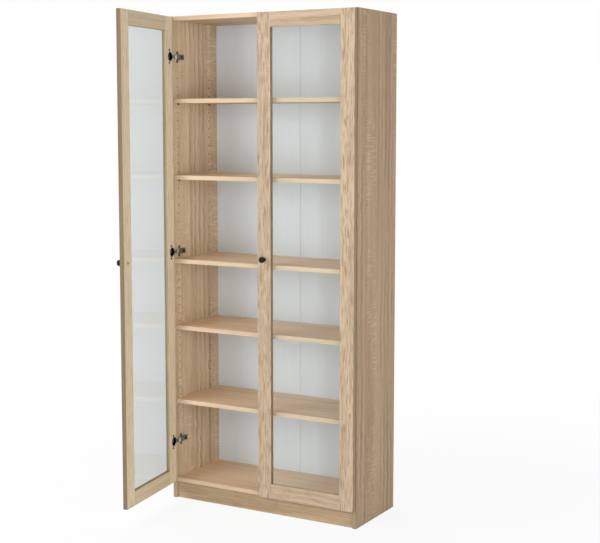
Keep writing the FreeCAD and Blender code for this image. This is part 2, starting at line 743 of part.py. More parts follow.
def hinge_plate(z):
    """A cross-shaped plate: two screwed ears, and a rail that fills the arm's channel."""
    rail_x = (LEFT_INNER, ARM_TOP - ARM_SHEET)
    rail_y = (ARM_FRONT + ARM_SHEET + RAIL_CLEARANCE, ARM_REAR)
    rail_half = ARM_WIDTH / 2 - ARM_SHEET - RAIL_CLEARANCE
    body = board(rail_x, rail_y, span(z, rail_half), Vector(1, 0, 0), RAIL_ROUND)
    ear_x = (LEFT_INNER, PLATE_TOP)
    ear_heights = span(z, HOLE_PITCH / 2)
    strap = box(ear_x, span(FRONT_ROW, PLATE_EAR_RADIUS), ear_heights)

    def through(radius, x, y, height):
        return rod(radius, (x[0], y, height), (x[1], y, height))

    ears = [through(PLATE_EAR_RADIUS, ear_x, FRONT_ROW, ear_z) for ear_z in ear_heights]
    holes = [through(HOLE_RADIUS, ear_x, FRONT_ROW, ear_z) for ear_z in ear_heights]
    holes.append(through(ARM_SCREW_RADIUS, rail_x, ARM_SCREW_Y, z))
    return body.fuse([strap, *ears]).cut(holes).removeSplitter()


def plate_screw(z):
    return screw(
        (PLATE_TOP, FRONT_ROW, z),
        INTO_SIDE,
        HOLE_RADIUS - FIT_CLEARANCE,
        PLATE_SCREW_LENGTH,
        PLATE_SCREW_HEAD_RADIUS,
        PLATE_SCREW_HEAD,
    )


def arm_screw(z):
    """A short screw through the arm's slot, which clamps the arm on the plate's rail."""
    return screw(
        (ARM_TOP, ARM_SCREW_Y, z),
        INTO_SIDE,
        ARM_SCREW_RADIUS - FIT_CLEARANCE,
        ARM_TOP - LEFT_INNER,
        ARM_SCREW_HEAD_RADIUS,
        ARM_SCREW_HEAD,
    )


# Assembly


def opened(shape):
    """A piece of the left door, swung open as it stands at rest."""
    return shape.rotated(Vector(PIVOT_X, PIVOT_Y, 0), Vector(0, 0, 1), -DOOR_OPEN_DEGREES)


def door_pieces():
    """The pieces of the left door when closed, by name."""
    return {
        "hinge_stile": [hinge_stile()],
        "meeting_stile": [meeting_stile()],
        "top_rail": [rail(DOOR_TOP, -1)],
        "bottom_rail": [rail(DOOR_LOW, 1)],
        "glass_pane": [glass_pane()],
        "frame_dowels": frame_dowels(),
        "bumper_pads": bumper_pads(),
        "knob": [knob()],
        "knob_screw": [knob_screw()],
        "hinge_cups": [hinge_cup(z) for z in HINGE_HEIGHTS],
        "hinge_pins": [hinge_pin(z) for z in HINGE_HEIGHTS],
        "cup_screws": cup_screws(),
    }


def case_hinge_pieces():
    """The hinge pieces on the left side panel, by name."""
    return {
        "hinge_arms": [hinge_arm(z) for z in HINGE_HEIGHTS],
        "hinge_plates": [hinge_plate(z) for z in HINGE_HEIGHTS],
        "plate_screws": [plate_screw(ear_z) for z in HINGE_HEIGHTS for ear_z in span(z, HOLE_PITCH / 2)],
        "arm_screws": [arm_screw(z) for z in HINGE_HEIGHTS],
    }


def main():
    os.makedirs("parts", exist_ok=True)
    left_side = side_panel()
    save("side_panel_left", left_side)
    save("side_panel_right", mirrored(left_side))
    save("top_panel", fixed_panel(TOP_LOW, True).cut(both_sides(bracket_pilot_holes())))
    save("middle_shelf", fixed_panel(MIDDLE_SHELF_LOW, False))
    save("bottom_panel", fixed_panel(BOTTOM_LOW, False))
    for number, height in enumerate(SUPPORT_HEIGHTS, 1):
        save("adjustable_shelf_%d" % number, adjustable_shelf(height))
    save("plinth", plinth())
    leaf = back_leaf()
    save("back_leaf_left", leaf)
    save("back_leaf_right", mirrored(leaf))
    save("back_tape", back_tape())
    save("back_nails", *back_nails())
    save("case_dowels", *case_dowels())
    save("cam_bolts", *cam_bolts())
    save("cam_locks", *cam_locks())
    save("shelf_supports", *shelf_supports())
    save("wall_brackets", *both_sides([wall_bracket()]))
    save("bracket_screws", *both_sides(bracket_screws()))
    for name, shapes in case_hinge_pieces().items():
        save(name + "_left", *shapes)
        save(name + "_right", *map(mirrored, shapes))
    for name, shapes in door_pieces().items():
        save("left_door_" + name, *map(opened, shapes))
        save("right_door_" + name, *map(mirrored, shapes))


main()
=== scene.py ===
import json
import math

import bmesh
import bpy
from mathutils import Matrix, Vector


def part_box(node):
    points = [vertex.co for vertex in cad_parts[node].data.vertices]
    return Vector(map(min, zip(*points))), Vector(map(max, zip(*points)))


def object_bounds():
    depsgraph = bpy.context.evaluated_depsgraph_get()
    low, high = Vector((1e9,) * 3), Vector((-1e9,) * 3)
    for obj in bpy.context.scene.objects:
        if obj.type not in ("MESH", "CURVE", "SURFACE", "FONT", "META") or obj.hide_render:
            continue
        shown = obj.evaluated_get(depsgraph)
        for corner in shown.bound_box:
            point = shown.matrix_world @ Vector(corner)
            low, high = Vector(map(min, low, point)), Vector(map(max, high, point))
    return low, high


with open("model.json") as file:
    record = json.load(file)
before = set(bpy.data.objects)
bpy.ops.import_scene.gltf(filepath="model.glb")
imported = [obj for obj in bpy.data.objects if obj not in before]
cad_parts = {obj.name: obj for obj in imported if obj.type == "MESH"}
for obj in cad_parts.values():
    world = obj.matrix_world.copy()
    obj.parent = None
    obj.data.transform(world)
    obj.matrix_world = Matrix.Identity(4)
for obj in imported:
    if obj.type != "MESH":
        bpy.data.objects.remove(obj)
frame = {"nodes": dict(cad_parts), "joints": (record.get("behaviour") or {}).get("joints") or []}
cad_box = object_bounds()

MM = 0.001
SIDES = ("left", "right")
AXES = {"X": Vector((1, 0, 0)), "Y": Vector((0, 1, 0)), "Z": Vector((0, 0, 1))}
# A face counts as looking along an axis where its normal's share of that axis is above this.
FACE_SHARE = 0.7
# The middle of what a noise or a wave texture gives.
PATTERN_MIDDLE = 0.5

# Camera: the photograph's own view, found from the corners of the case.
CAMERA_PLACE = (2.4094, -3.9334, 1.4575)
CAMERA_YAW_DEGREES = 29.771
CAMERA_DOWN_DEGREES = 5.923
CAMERA_SENSOR_MM = 36.0
CAMERA_FOCAL_PIXELS = 1259.2
PHOTO_WIDTH_PIXELS = 600
CAMERA_SHIFT_DOWN = 0.032

# Light: a white room and five wide soft lamps, each as its azimuth, its elevation and its watts.
# Azimuth 0 is straight in front of the doors, and 90 is on the right.
WHITE = "ffffff"
ROOM_LIGHT = 0.13
LAMP_DISTANCE = 4.5
LAMP_WIDTH = 2.8
LAMPS = {
    "side_softbox": (58, 4, 110),
    "front_softbox": (-30, 4, 101),
    "camera_softbox": (15, 4, 40),
    "top_softbox": (-45, 34, 82),
    "rear_softbox": (222, 38, 130),
}

# Floor: up to FLOOR_NEAR metres from the origin it shows this share of plain white, mixed with paint that
# takes the shadow, and from FLOOR_FAR metres on it shows plain white alone.
FLOOR_PAINT = "f0f0f0"
FLOOR_REACH = 9.0
FLOOR_WHITE_SHARE = 0.9
FLOOR_NEAR = 0.9
FLOOR_FAR = 2.6

# The oak print's layers of noise, each as its cells' length along the grain and width across it in
# millimetres, its detail, the noise where the layer is lowest and highest, and its lowest value. The
# highest is 1. Pores and saw marks are drawn about three times their real width, because a pixel of the
# photograph is nearly 4 mm.
GRAIN_LAYERS = {
    "bands": (1500, 52, 2.0, 0.3, 0.7, -1),
    "streaks": (520, 9, 4.0, 0.3, 0.7, -1),
    "pores": (48, 1.9, 0.0, 0.56, 0.66, 0),
    "marks": (6, 50, 0.0, 0.5, 0.64, 0),
    "patches": (300, 90, 1.0, 0.42, 0.6, 0),
}
# The grain wanders in long bends, and its ring figure in short jags, each as its cells' length and width
# and its reach in millimetres.
GRAIN_WANDER = (420, 150, 12)
GRAIN_JAG = (34, 45, 8)
# The growth rings' spacing in millimetres, and how far their heart lies from the origin.
RING_SPACING = 26
RING_HEART_AWAY = 500
# Lanes along the grain, by turns with saw marks and with ring figure: their period across it in
# millimetres, their phase in radians, and how far they drift sideways for each millimetre along it.
LANE_PERIOD = 240
LANE_PHASE = 4.1
LANE_DRIFT = 0.03
# The lane wave's values where saw marks, or ring figure, start and are full.
MARK_LANE = (0.5, 0.85)
FIGURE_LANE = (0.65, 0.3)
# The share of the ring figure that stays outside its lanes, and the share that goes between its patches.
FIGURE_OUTSIDE_LANE = 0.25
FIGURE_PATCH_FADE = 0.8
# Radians that Blender's wave texture turns through in a metre at scale 1.
RING_WAVE_TURN = 20
DIAGONAL_WAVE_TURN = 10
# How much each layer darkens or brightens a print. Saw marks and ring figure show most on the side panels.
PANEL_PRINT = {"bands": 0.12, "streaks": 0.09, "pores": -0.14, "marks": 0.26, "figure": 0.52}
SHELF_PRINT = {"bands": 0.1, "streaks": 0.12, "pores": -0.12, "marks": 0.0, "figure": 0.12}
FRAME_PRINT = {"bands": 0.06, "streaks": 0.1, "pores": -0.42, "marks": 0.05, "figure": 0.1}

# Papers, each as its dark, middle and pale colour, and the print's tones that take these colours.
SIDE_OUTER = ("8d7257", "b29676", "c6ad8e")
# The side panels' inner paper is a paler copy of the outer one: painted light inside the case.
SIDE_INNER_PAINTED_LIGHT = ("a88d70", "cdb596", "e0c9ad")
# The shelf tops' paper is a paler copy of the undersides': painted light on the tops.
SHELF_TOP_PAINTED_LIGHT = ("cdad8a", "f4d4ae", "fde2c1")
SHELF_UNDER = ("a98e70", "c9ae8d", "d8bf9f")
PLINTH = ("846d53", "a78f71", "b9a487")
DOOR_OUTER = ("917a62", "b9a38a", "cab69d")
# The doors' inner papers, on stiles and rails, are paler copies of the outer one: painted light.
DOOR_INNER_PAINTED_LIGHT = ("d4c0a1", "ead6b6", "f1e0c4")
RAIL_INNER_PAINTED_LIGHT = ("c4b092", "dac6a6", "e4d2b4")
PAPER_TONES = (0.2, 0.5, 0.8)
MIDDLE_TONE = PAPER_TONES[1]
# Edge bands, each as its dark and pale colour.
SHELF_EDGE = ("c4aa8e", "d8bfa4")
SIDE_EDGE = ("8d775e", "a58f75")
# The doors' edges are all one band. Its colours by door, stile and rail are painted light and shade: the
# left door's free edge darkest, the right door's rails palest.
DOOR_EDGES_PAINTED_LIGHT_AND_SHADE = {
    "left": {"hinge_stile": ("8b7e61", "a5977c"), "meeting_stile": ("6d5c45", "826f59"),
             "rail": ("78674f", "8f7c65")},
    "right": {"hinge_stile": ("8c785f", "a48f76"), "meeting_stile": ("8c785f", "a48f76"),
              "rail": ("c4ac8f", "d8c2a6")},
}
# The chipboard inside a drilled hole, darkened near black as painted shade, and the depth in
# millimetres at which it starts.
HOLE_SHADE_CHIPBOARD = "33271c"
PAPER_DEPTH = 0.5

# Roughness where a pattern is lowest and highest, and relief as the bump's strength and its millimetres.
PAPER_ROUGHNESS = (0.46, 0.6)
PAPER_RELIEF = (0.15, 0.3)
LACQUER_ROUGHNESS = (0.42, 0.56)
LACQUER_RELIEF = (0.1, 0.1)

# The back, with its roller lines and specks in millimetres along X, Y and Z. These and the fold between its
# two leaves are drawn coarser than they are so that they show.
LACQUER = ("dce7f1", "e6f1fb")
ROLLER_LINES = (6, 6, 400)
# The fold between the two leaves is a darker line of painted shade.
FOLD_PAINTED_SHADE = "d0d8dd"
FOLD_WIDTH = 4
RAW_HARDBOARD = ("94795a", "bba283")
HARDBOARD_SPECKS = (5, 5, 5)

# Glass: its tint seen face on and at a slant, the slants between which it deepens, from 0 face on to 1
# edge on, and the tint of light that goes through. Float glass has an IOR of 1.52, and this one is lower
# because the photograph's panes reflect weakly.
GLASS_FACE_ON = "fafcfb"
GLASS_SLANTED = "979e9f"
GLASS_SLANTS = (0.4, 0.6)
GLASS_LIGHT = "fafbfa"
GLASS_IOR = 1.43

# Fittings: how far a finish's roughness varies either way, and the strength of its relief.
GLOSS_SPREAD = 0.06
FITTING_RELIEF_STRENGTH = 0.15
# Hinge cups: the plating's dark and pale colour, the hollow's painted shade, and their roughness. Then in
# millimetres, the plating's spots and relief, the lip, and the depth from which the painted shade is
# darkest.
CUP_PLATING = ("c8c4bc", "dedbd4")
CUP_HOLLOW_PAINTED_SHADE = "2a2624"
CUP_ROUGHNESS = 0.26
CUP_SPOTS = (3, 3, 3)
CUP_RELIEF = 0.05
CUP_LIP = 1.2
CUP_DARKEST = 3.6


def linear(code):
    """An sRGB hex code as the linear colour that a shader takes."""
    parts = [int(code[place:place + 2], 16) / 255 for place in (0, 2, 4)]
    return [p / 12.92 if p <= 0.04045 else ((p + 0.055) / 1.055) ** 2.4 for p in parts] + [1.0]


def cell_scale(*sizes):
    """The scale that gives a pattern's cells these sizes in millimetres along X, Y and Z."""
    return [1 / (size * MM) for size in sizes]


def add(tree, kind, links, **settings):
    """Adds one node. links gives its inputs, by name or number, a value, an output or a node.

    A node stands for its first output that is in use, and a name for the input that is in use.
    """
    made = tree.nodes.new("ShaderNode" + kind)
    for name, value in settings.items():
        setattr(made, name, value)
    inputs = {socket.name: socket for socket in made.inputs if socket.enabled}
    inputs.update(enumerate(made.inputs))
    for place, value in links.items():
        if isinstance(value, bpy.types.Node):
            value = next(socket for socket in value.outputs if socket.enabled)
        if isinstance(value, bpy.types.NodeSocket):
            tree.links.new(value, inputs[place])
        else:
            inputs[place].default_value = value
    return made


def new_material(name):
    """An empty material and its node tree."""
    material = bpy.data.materials.new(name)
    material.use_nodes = True
    material.node_tree.nodes.clear()
    return material, material.node_tree


def seen_share(tree):
    """1 for what the camera, a mirror or glass shows, 0 for what only gives light."""
    path = add(tree, "LightPath", {})
    direct = add(tree, "Math", {0: path.outputs["Is Camera Ray"], 1: path.outputs["Is Glossy Ray"]},
                 operation="MAXIMUM")
    return add(tree, "Math", {0: direct, 1: path.outputs["Is Transmission Ray"]}, operation="MAXIMUM")


def make_camera():
    """The photograph's camera."""
    data = bpy.data.cameras.new("photo_camera")
    data.sensor_width = CAMERA_SENSOR_MM
    data.lens = CAMERA_SENSOR_MM * CAMERA_FOCAL_PIXELS / PHOTO_WIDTH_PIXELS
    data.shift_y = -CAMERA_SHIFT_DOWN
    camera = bpy.data.objects.new("photo_camera", data)
    camera.location = CAMERA_PLACE
    camera.rotation_euler = (math.radians(90 - CAMERA_DOWN_DEGREES), 0, math.radians(CAMERA_YAW_DEGREES))
    bpy.context.scene.collection.objects.link(camera)
    bpy.context.scene.camera = camera


def make_lamp(name, azimuth, elevation, watts):
    """A soft lamp that faces the middle of the bookcase."""
    middle = (cad_box[0] + cad_box[1]) / 2
    turn, lift = math.radians(azimuth), math.radians(elevation)
    way = Vector((math.cos(lift) * math.sin(turn), -math.cos(lift) * math.cos(turn), math.sin(lift)))
    data = bpy.data.lights.new(name, "AREA")
    data.size = LAMP_WIDTH
    data.energy = watts
    lamp = bpy.data.objects.new(name, data)
    lamp.location = middle + way * LAMP_DISTANCE
    lamp.rotation_euler = (-way).to_track_quat("-Z", "Y").to_euler()
    lamp.visible_camera = False
    lamp.visible_transmission = False
    lamp.visible_glossy = False
    bpy.context.scene.collection.objects.link(lamp)


def make_room():
    """A white room: it shows as white, and lights the bookcase at a lower, even level."""
    world = bpy.data.worlds.new("white_room")
    world.use_nodes = True
    tree = world.node_tree
    tree.nodes.clear()
    strength = add(tree, "Math", {0: seen_share(tree), 1: 1 - ROOM_LIGHT, 2: ROOM_LIGHT},
                   operation="MULTIPLY_ADD")
    light = add(tree, "Background", {"Color": linear(WHITE), "Strength": strength})
    add(tree, "OutputWorld", {"Surface": light})
    bpy.context.scene.world = world


def make_floor():
    """A white floor that keeps a soft shadow and fades into the white room."""
    material, tree = new_material("matt_white_floor_paint")
    place = add(tree, "TexCoord", {})
    away = add(tree, "VectorMath", {0: place.outputs["Object"]}, operation="LENGTH")
    share = add(tree, "MapRange", {"Value": away, "From Min": FLOOR_NEAR, "From Max": FLOOR_FAR,
                                   "To Min": FLOOR_WHITE_SHARE})
    glow = add(tree, "Math", {0: seen_share(tree), 1: share}, operation="MULTIPLY")
    paint = add(tree, "BsdfDiffuse", {"Color": linear(FLOOR_PAINT)})
    white = add(tree, "Emission", {"Color": linear(WHITE)})
    surface = add(tree, "MixShader", {0: glow, 1: paint, 2: white})
    add(tree, "OutputMaterial", {"Surface": surface})
    shape = bmesh.new()
    bmesh.ops.create_grid(shape, x_segments=1, y_segments=1, size=FLOOR_REACH)
    mesh = bpy.data.meshes.new("floor")
    shape.to_mesh(mesh)
    shape.free()
    mesh.materials.append(material)
    floor = bpy.data.objects.new("floor", mesh)
    bpy.context.scene.collection.objects.link(floor)


def oak_print(tree, board, style):
    """An oak print's tone and its streaks, on a board turned so that its grain runs along X."""
    bends = [board]
    for run, width, reach in (GRAIN_WANDER, GRAIN_JAG):
        cells = add(tree, "Mapping", {"Vector": bends[-1], "Scale": cell_scale(run, width, width)})
        push = add(tree, "TexNoise", {"Vector": cells, "Scale": 1.0, "Detail": 1.0})
        centred = add(tree, "VectorMath", {0: push.outputs["Color"], 1: [PATTERN_MIDDLE] * 3},
                      operation="SUBTRACT")
        sway = 2 * reach * MM
        bends.append(add(tree, "VectorMath", {0: centred, 1: (0, sway, sway), 2: bends[-1]},
                         operation="MULTIPLY_ADD"))
    wandering, jagged = bends[1:]

    layers = {}
    for layer, (run, width, detail, lowest_at, highest_at, lowest) in GRAIN_LAYERS.items():
        cells = add(tree, "Mapping", {"Vector": wandering, "Scale": cell_scale(run, width, width)})
        noise = add(tree, "TexNoise", {"Vector": cells, "Scale": 1.0, "Detail": detail})
        layers[layer] = add(tree, "MapRange", {"Value": noise, "From Min": lowest_at,
                                               "From Max": highest_at, "To Min": lowest})

    # Saw marks and ring figure keep to lanes of their own, and both fade out between patches.
    drift = add(tree, "Mapping", {"Vector": board, "Scale": (LANE_DRIFT, 1, 1)})
    lanes = add(tree, "TexWave", {"Vector": drift, "Phase Offset": LANE_PHASE,
                                  "Scale": math.tau / (DIAGONAL_WAVE_TURN * LANE_PERIOD * MM)},
                wave_type="BANDS", bands_direction="DIAGONAL", wave_profile="SIN")
    mark_lane = add(tree, "MapRange", {"Value": lanes.outputs["Fac"], "From Min": MARK_LANE[0],
                                       "From Max": MARK_LANE[1], "To Max": style["marks"]})
    mark_weight = add(tree, "Math", {0: mark_lane, 1: layers["patches"]}, operation="MULTIPLY")
    figure_lane = add(tree, "MapRange", {"Value": lanes.outputs["Fac"], "From Min": FIGURE_LANE[0],
                                         "From Max": FIGURE_LANE[1],
                                         "To Min": FIGURE_OUTSIDE_LANE * style["figure"],
                                         "To Max": style["figure"]})
    patchy = add(tree, "Math", {0: layers["patches"], 1: FIGURE_PATCH_FADE, 2: 1 - FIGURE_PATCH_FADE},
                 operation="MULTIPLY_ADD")
    figure_weight = add(tree, "Math", {0: figure_lane, 1: patchy}, operation="MULTIPLY")
    log = add(tree, "Mapping", {"Vector": jagged, "Location": (0, RING_HEART_AWAY * MM, 0)})
    rings = add(tree, "TexWave", {"Vector": log, "Scale": math.tau / (RING_WAVE_TURN * RING_SPACING * MM)},
                wave_type="RINGS", rings_direction="X", wave_profile="SAW")
    figure = add(tree, "Math", {0: rings.outputs["Fac"], 1: PATTERN_MIDDLE}, operation="SUBTRACT")

    tone = MIDDLE_TONE
    for part, weight in ((layers["bands"], style["bands"]), (layers["streaks"], style["streaks"]),
                         (layers["pores"], style["pores"]), (layers["marks"], mark_weight),
                         (figure, figure_weight)):
        tone = add(tree, "Math", {0: part, 1: weight, 2: tone}, operation="MULTIPLY_ADD")
    return tone, layers["streaks"]


def oak_paper(name, style, outer, inner, edge, grain, faces, inside, turn=0.0, panel=None):
    """Printed oak paper pressed on chipboard. It gives a matt face with pores, streaks and pale saw marks.

    grain is the axis that the print follows, faces the axis of the broad faces and inside the way that the
    inner face looks, all on the closed bookcase; turn brings an open door's board back there. The inner
    face takes the second, paler paper as painted light. The narrow faces have an edge band with no figure.
    Where panel gives a drilled panel's box, its holes show raw chipboard darkened near black as painted
    shade.
    """
    material, tree = new_material(name)
    closed = Matrix.Rotation(turn, 3, "Z")
    along = Matrix.Rotation(math.radians(90), 3, "Y") @ closed if grain == "Z" else closed
    place = add(tree, "TexCoord", {})
    board = add(tree, "Mapping", {"Vector": place.outputs["Object"], "Rotation": along.to_euler()})
    tone, streaks = oak_print(tree, board, style)

    papers = []
    for colours in (outer, inner):
        paper = add(tree, "ValToRGB", {0: tone})
        stops = paper.color_ramp.elements
        stops.new(MIDDLE_TONE)
        for stop, level, code in zip(stops, PAPER_TONES, colours):
            stop.position = level
            stop.color = linear(code)
        papers.append(paper)
    facing = {}
    for way, axis in (("broad", AXES[faces]), ("inward", Vector(inside))):
        facing[way] = add(tree, "VectorMath", {0: place.outputs["Normal"], 1: closed.inverted() @ axis},
                          operation="DOT_PRODUCT")
    # Faces that look the inside way take the second, paler paper: painted light.
    takes_painted_light = add(tree, "Math", {0: facing["inward"], 1: FACE_SHARE}, operation="GREATER_THAN")
    printed = add(tree, "Mix", {"Factor": takes_painted_light, "A": papers[0], "B": papers[1]}, data_type="RGBA")
    lowest_streak = GRAIN_LAYERS["streaks"][-1]
    edge_share = add(tree, "MapRange", {"Value": streaks, "From Min": lowest_streak})
    band = add(tree, "Mix", {"Factor": edge_share, "A": linear(edge[0]), "B": linear(edge[1])},
               data_type="RGBA")
    broad = add(tree, "Math", {0: facing["broad"]}, operation="ABSOLUTE")
    is_face = add(tree, "Math", {0: broad, 1: FACE_SHARE}, operation="GREATER_THAN")
    colour = add(tree, "Mix", {"Factor": is_face, "A": band, "B": printed}, data_type="RGBA")
    if panel:
        parts = add(tree, "SeparateXYZ", {0: place.outputs["Object"]})
        drilled = 1.0
        for value, low, high in zip(parts.outputs, *panel):
            reach = (high - low) / 2 - PAPER_DEPTH * MM
            within = add(tree, "Math", {0: value, 1: (low + high) / 2, 2: reach}, operation="COMPARE")
            drilled = add(tree, "Math", {0: within, 1: drilled}, operation="MULTIPLY")
        # Hole walls are raw chipboard darkened near black: painted shade.
        colour = add(tree, "Mix", {"Factor": drilled, "A": colour, "B": linear(HOLE_SHADE_CHIPBOARD)},
                     data_type="RGBA")

    strength, depth = PAPER_RELIEF
    matt = add(tree, "MapRange", {"Value": streaks, "From Min": lowest_streak,
                                  "To Min": PAPER_ROUGHNESS[0], "To Max": PAPER_ROUGHNESS[1]})
    bump = add(tree, "Bump", {"Height": tone, "Strength": strength, "Distance": depth * MM})
    surface = add(tree, "BsdfPrincipled", {"Base Color": colour, "Roughness": matt, "Normal": bump})
    add(tree, "OutputMaterial", {"Surface": surface})
    return material


def lacquered_hardboard():
    """White lacquer rolled on one face of hardboard. Inside it gives a satin white with faint upright
    roller lines and a fold drawn as a line of painted shade, and behind it the speckled brown of the raw
    board."""
    material, tree = new_material("white_lacquered_hardboard")
    place = add(tree, "TexCoord", {})
    lines = add(tree, "Mapping", {"Vector": place.outputs["Object"], "Scale": cell_scale(*ROLLER_LINES)})
    roller = add(tree, "TexNoise", {"Vector": lines, "Scale": 1.0, "Detail": 3.0})
    lacquer = add(tree, "Mix", {"Factor": roller, "A": linear(LACQUER[0]), "B": linear(LACQUER[1])},
                  data_type="RGBA")
    parts = add(tree, "SeparateXYZ", {0: place.outputs["Object"]})
    # A darker line along the fold between the leaves: painted shade.
    off_fold = add(tree, "Math", {0: parts.outputs["X"]}, operation="ABSOLUTE")
    fold = add(tree, "MapRange", {"Value": off_fold, "From Max": FOLD_WIDTH / 2 * MM, "To Min": 1.0,
                                  "To Max": 0.0})
    inside = add(tree, "Mix", {"Factor": fold, "A": lacquer, "B": linear(FOLD_PAINTED_SHADE)}, data_type="RGBA")
    specks = add(tree, "Mapping", {"Vector": place.outputs["Object"],
                                   "Scale": cell_scale(*HARDBOARD_SPECKS)})
    fibres = add(tree, "TexNoise", {"Vector": specks, "Scale": 1.0, "Detail": 4.0})
    raw = add(tree, "Mix", {"Factor": fibres, "A": linear(RAW_HARDBOARD[0]),
                            "B": linear(RAW_HARDBOARD[1])}, data_type="RGBA")
    rearward = add(tree, "VectorMath", {0: place.outputs["Normal"], 1: AXES["Y"]}, operation="DOT_PRODUCT")
    is_rear = add(tree, "Math", {0: rearward, 1: FACE_SHARE}, operation="GREATER_THAN")
    colour = add(tree, "Mix", {"Factor": is_rear, "A": inside, "B": raw}, data_type="RGBA")
    strength, depth = LACQUER_RELIEF
    satin = add(tree, "MapRange", {"Value": roller, "To Min": LACQUER_ROUGHNESS[0],
                                   "To Max": LACQUER_ROUGHNESS[1]})
    bump = add(tree, "Bump", {"Height": roller, "Strength": strength, "Distance": depth * MM})
    surface = add(tree, "BsdfPrincipled", {"Base Color": colour, "Roughness": satin, "Normal": bump})
    add(tree, "OutputMaterial", {"Surface": surface})
    return material


def float_glass():
    """Clear float glass. It gives hard reflections, and a grey-green body that deepens at a low angle."""
    material, tree = new_material("clear_float_glass")
    slant = add(tree, "LayerWeight", {})
    deep = add(tree, "MapRange", {"Value": slant.outputs["Facing"], "From Min": GLASS_SLANTS[0],
                                  "From Max": GLASS_SLANTS[1]})
    body = add(tree, "Mix", {"Factor": deep, "A": linear(GLASS_FACE_ON), "B": linear(GLASS_SLANTED)},
               data_type="RGBA")
    pane = add(tree, "BsdfPrincipled", {"Base Color": body, "Roughness": 0.0, "IOR": GLASS_IOR,
                                        "Transmission Weight": 1.0})
    path = add(tree, "LightPath", {})
    light_ray = add(tree, "Math", {0: path.outputs["Is Shadow Ray"], 1: path.outputs["Is Diffuse Ray"]},
                    operation="MAXIMUM")
    clear = add(tree, "BsdfTransparent", {"Color": linear(GLASS_LIGHT)})
    surface = add(tree, "MixShader", {0: light_ray, 1: pane, 2: clear})
    add(tree, "OutputMaterial", {"Surface": surface})
    return material


def fitting_finish(name, pale, dark, spot, roughness, relief, metallic=0.0, stretch=1, painted_highlight=None,
                   ior=None):
    """A fitting's plain finish: tone, gloss and relief vary in spots, which stretch makes longer upright.

    spot and relief are in millimetres. An optional painted highlight gives the middle, half width and
    colour of a bright band across Y, where a bend would catch the light. ior is given only where it isn't
    the default.
    """
    material, tree = new_material(name)
    place = add(tree, "TexCoord", {})
    cells = add(tree, "Mapping", {"Vector": place.outputs["Object"],
                                  "Scale": cell_scale(spot, spot, spot * stretch)})
    spots = add(tree, "TexNoise", {"Vector": cells, "Scale": 1.0, "Detail": 3.0})
    colour = add(tree, "Mix", {"Factor": spots, "A": linear(dark), "B": linear(pale)}, data_type="RGBA")
    # A painted highlight: a bright band across Y where a bend would catch the light.
    if painted_highlight:
        middle, half, bright = painted_highlight
        parts = add(tree, "SeparateXYZ", {0: place.outputs["Object"]})
        band = add(tree, "Math", {0: parts.outputs["Y"], 1: middle * MM, 2: half * MM}, operation="COMPARE")
        colour = add(tree, "Mix", {"Factor": band, "A": colour, "B": linear(bright)}, data_type="RGBA")
    gloss = add(tree, "MapRange", {"Value": spots, "To Min": roughness - GLOSS_SPREAD,
                                   "To Max": roughness + GLOSS_SPREAD})
    bump = add(tree, "Bump", {"Height": spots, "Strength": FITTING_RELIEF_STRENGTH,
                              "Distance": relief * MM})
    finish = {"Base Color": colour, "Metallic": metallic, "Roughness": gloss, "Normal": bump}
    if ior:
        finish["IOR"] = ior
    surface = add(tree, "BsdfPrincipled", finish)
    add(tree, "OutputMaterial", {"Surface": surface})
    return material


def hinge_cup_steel(name, joint, turn, door_face):
    """Pressed nickel-plated cup. It gives a bright lip, and a hollow darkened as painted shade.

    turn closes the door about its joint, and door_face is where a closed door's inner face lies along Y.
    """
    material, tree = new_material(name)
    closed = Matrix.Rotation(turn, 3, "Z")
    pivot = Vector(joint["pos_m"])
    place = add(tree, "TexCoord", {})
    shut = add(tree, "Mapping", {"Vector": place.outputs["Object"], "Location": pivot - closed @ pivot,
                                 "Rotation": closed.to_euler()})
    parts = add(tree, "SeparateXYZ", {0: shut})
    # The hollow darkens with depth below the door's inner face: painted shade.
    hollow_shade = add(tree, "MapRange", {"Value": parts.outputs["Y"], "From Min": door_face - CUP_LIP * MM,
                                    "From Max": door_face - CUP_DARKEST * MM})
    cells = add(tree, "Mapping", {"Vector": place.outputs["Object"], "Scale": cell_scale(*CUP_SPOTS)})
    spots = add(tree, "TexNoise", {"Vector": cells, "Scale": 1.0, "Detail": 3.0})
    plating = add(tree, "Mix", {"Factor": spots, "A": linear(CUP_PLATING[0]), "B": linear(CUP_PLATING[1])},
                  data_type="RGBA")
    colour = add(tree, "Mix", {"Factor": hollow_shade, "A": plating, "B": linear(CUP_HOLLOW_PAINTED_SHADE)}, data_type="RGBA")
    gloss = add(tree, "MapRange", {"Value": spots, "To Min": CUP_ROUGHNESS - GLOSS_SPREAD,
                                   "To Max": CUP_ROUGHNESS + GLOSS_SPREAD})
    bump = add(tree, "Bump", {"Height": spots, "Strength": FITTING_RELIEF_STRENGTH,
                              "Distance": CUP_RELIEF * MM})
    surface = add(tree, "BsdfPrincipled", {"Base Color": colour, "Metallic": 1.0, "Roughness": gloss,
                                           "Normal": bump})
    add(tree, "OutputMaterial", {"Surface": surface})
    return material


def dress(material, *nodes):
    """Gives CAD nodes their finish."""
    for node in nodes:
        slots = frame["nodes"][node].data.materials
        slots.clear()
        slots.append(material)


make_camera()
make_room()
make_floor()
for lamp_name, setting in LAMPS.items():
    make_lamp(lamp_name, *setting)

